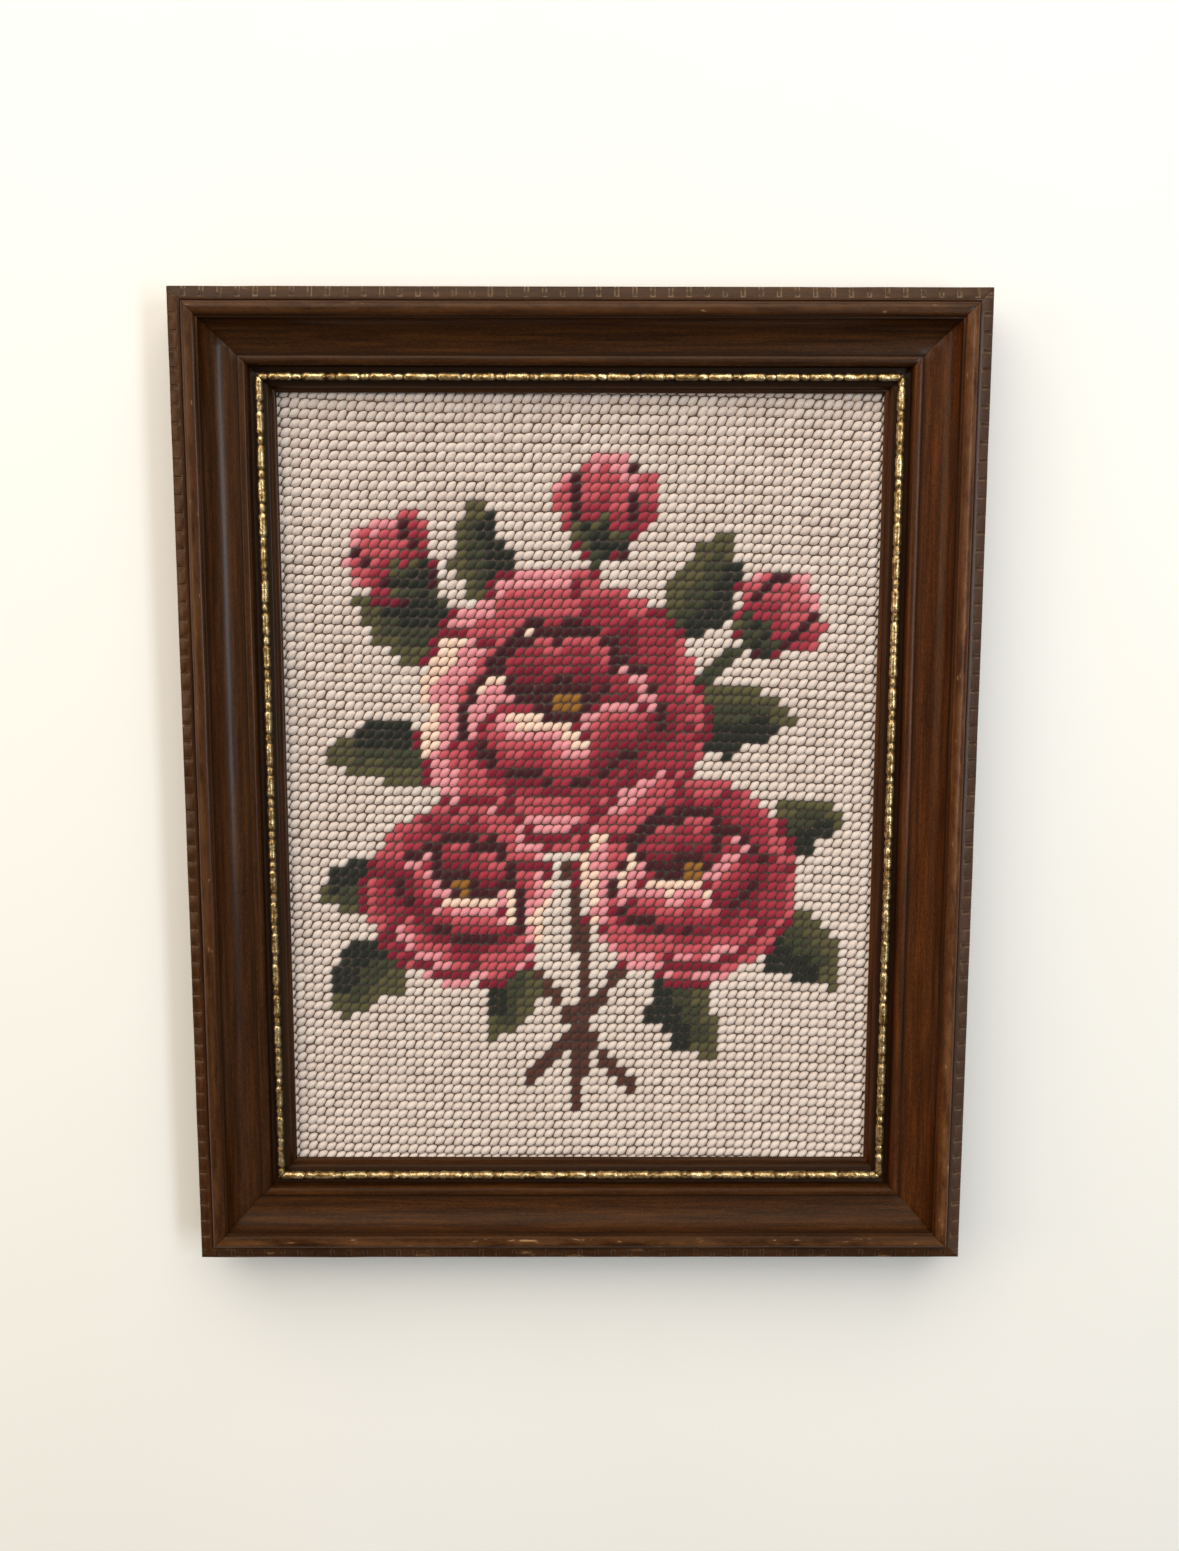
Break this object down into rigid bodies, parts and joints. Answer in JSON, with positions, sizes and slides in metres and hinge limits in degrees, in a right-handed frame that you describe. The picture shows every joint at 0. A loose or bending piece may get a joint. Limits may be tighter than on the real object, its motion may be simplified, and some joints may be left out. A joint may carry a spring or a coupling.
{
  "type": "needlepoint picture in a wooden frame",
  "caption": "Wool needlepoint flower picture stretched in a mitred, moulded wooden frame with a notched outer edge and a gilt bead-and-reel inner strip.",
  "frame": {"origin": "on the surface that the back lies on, under the middle of the frame", "axes": "+Z out of the picture's face, +Y towards its top edge, +X towards its right edge"},
  "size_m": [0.209, 0.259, 0.0214],
  "materials": {
    "stained_wood": "dark walnut stain under a worn satin varnish",
    "gilt": "bright gilt, lumpy by hand",
    "wool": "wool tent stitch on cotton canvas, matt",
    "hardboard": "bare brown hardboard"
  },
  "bodies": {
    "root": {"rail_bottom": "stained_wood", "rail_right": "stained_wood", "rail_top": "stained_wood", "rail_left": "stained_wood", "gilt_strip_bottom": "gilt", "gilt_strip_right": "gilt", "gilt_strip_top": "gilt", "gilt_strip_left": "gilt", "needlepoint_cloth": "wool", "backing_board": "hardboard"}
  },
  "joints": []
}
